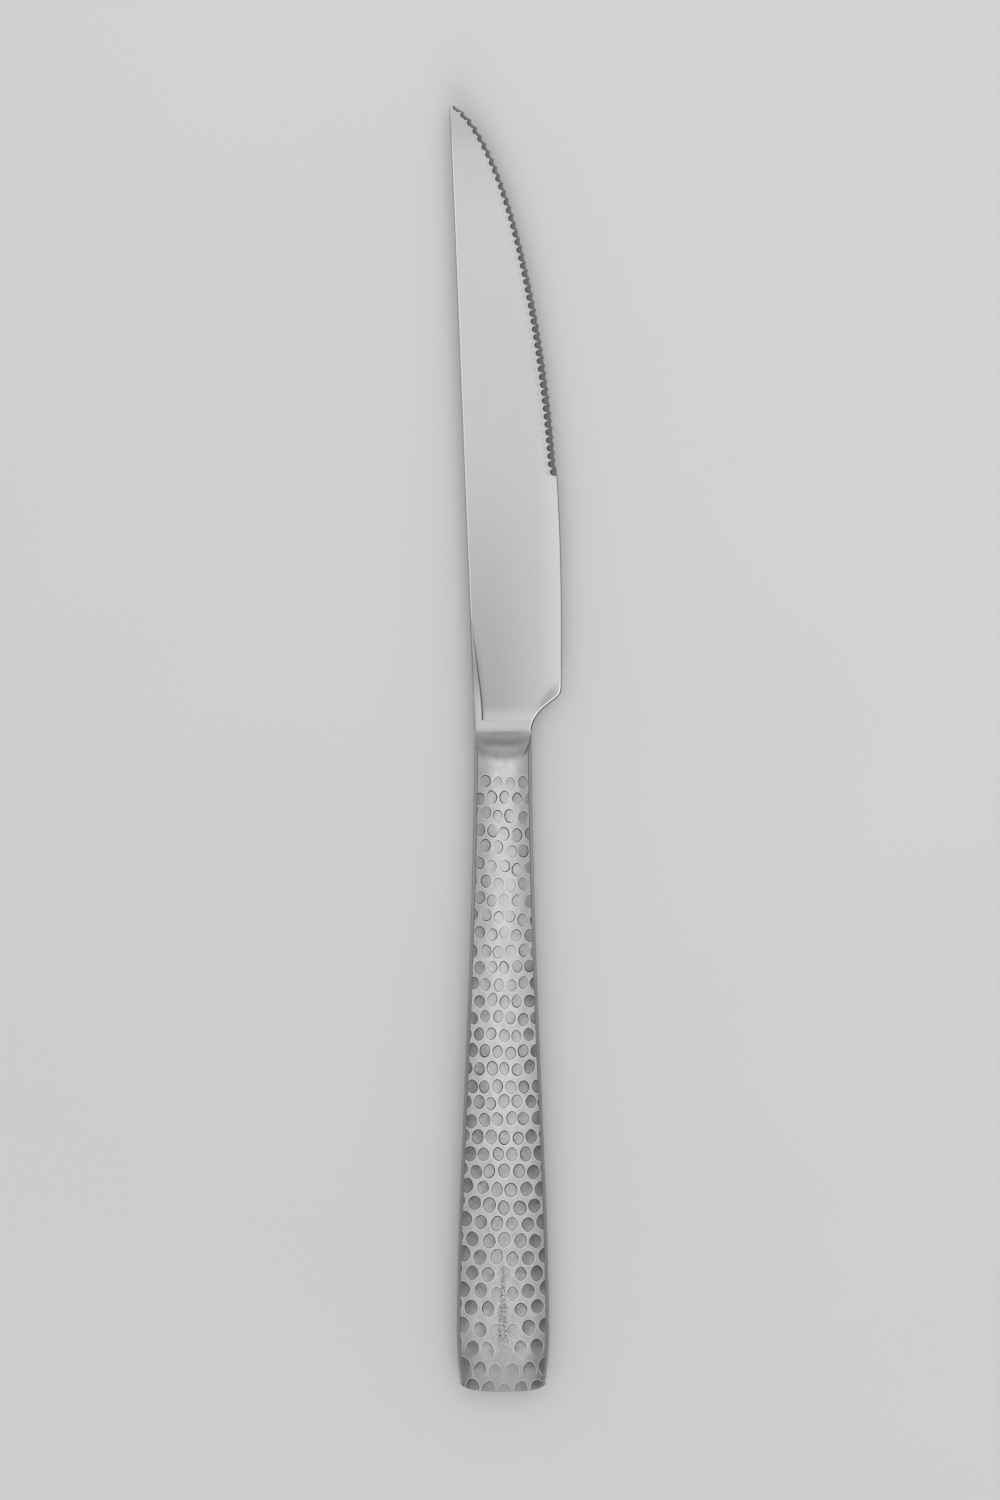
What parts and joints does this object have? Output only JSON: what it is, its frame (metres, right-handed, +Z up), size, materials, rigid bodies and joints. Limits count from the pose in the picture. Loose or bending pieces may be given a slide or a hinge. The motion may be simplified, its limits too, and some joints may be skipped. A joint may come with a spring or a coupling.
{
  "type": "serrated table knife",
  "caption": "All-steel steak knife with a serrated, upswept blade, a short bolster and a flared hollow handle with a hammered finish, for cutting meat at the table.",
  "frame": {"origin": "on the table, under the middle of the knife's box as it lies on its flat", "axes": "+Y along the knife towards the tip, +X towards the cutting edge, +Z up off the flat"},
  "size_m": [0.0206, 0.235, 0.0087],
  "materials": {
    "blade_steel": "satin, brushed along the blade",
    "handle_steel": "hammered, satin lands and bright dimple floors",
    "braze": "silver-coloured braze, ground flush",
    "cement": "matte filler, hidden inside the handle"
  },
  "bodies": {
    "root": {"blade": "blade_steel", "handle_shell_upper": "handle_steel", "handle_shell_lower": "handle_steel", "seam_braze": "braze", "neck_solder": "braze", "handle_cement": "cement"}
  },
  "joints": []
}
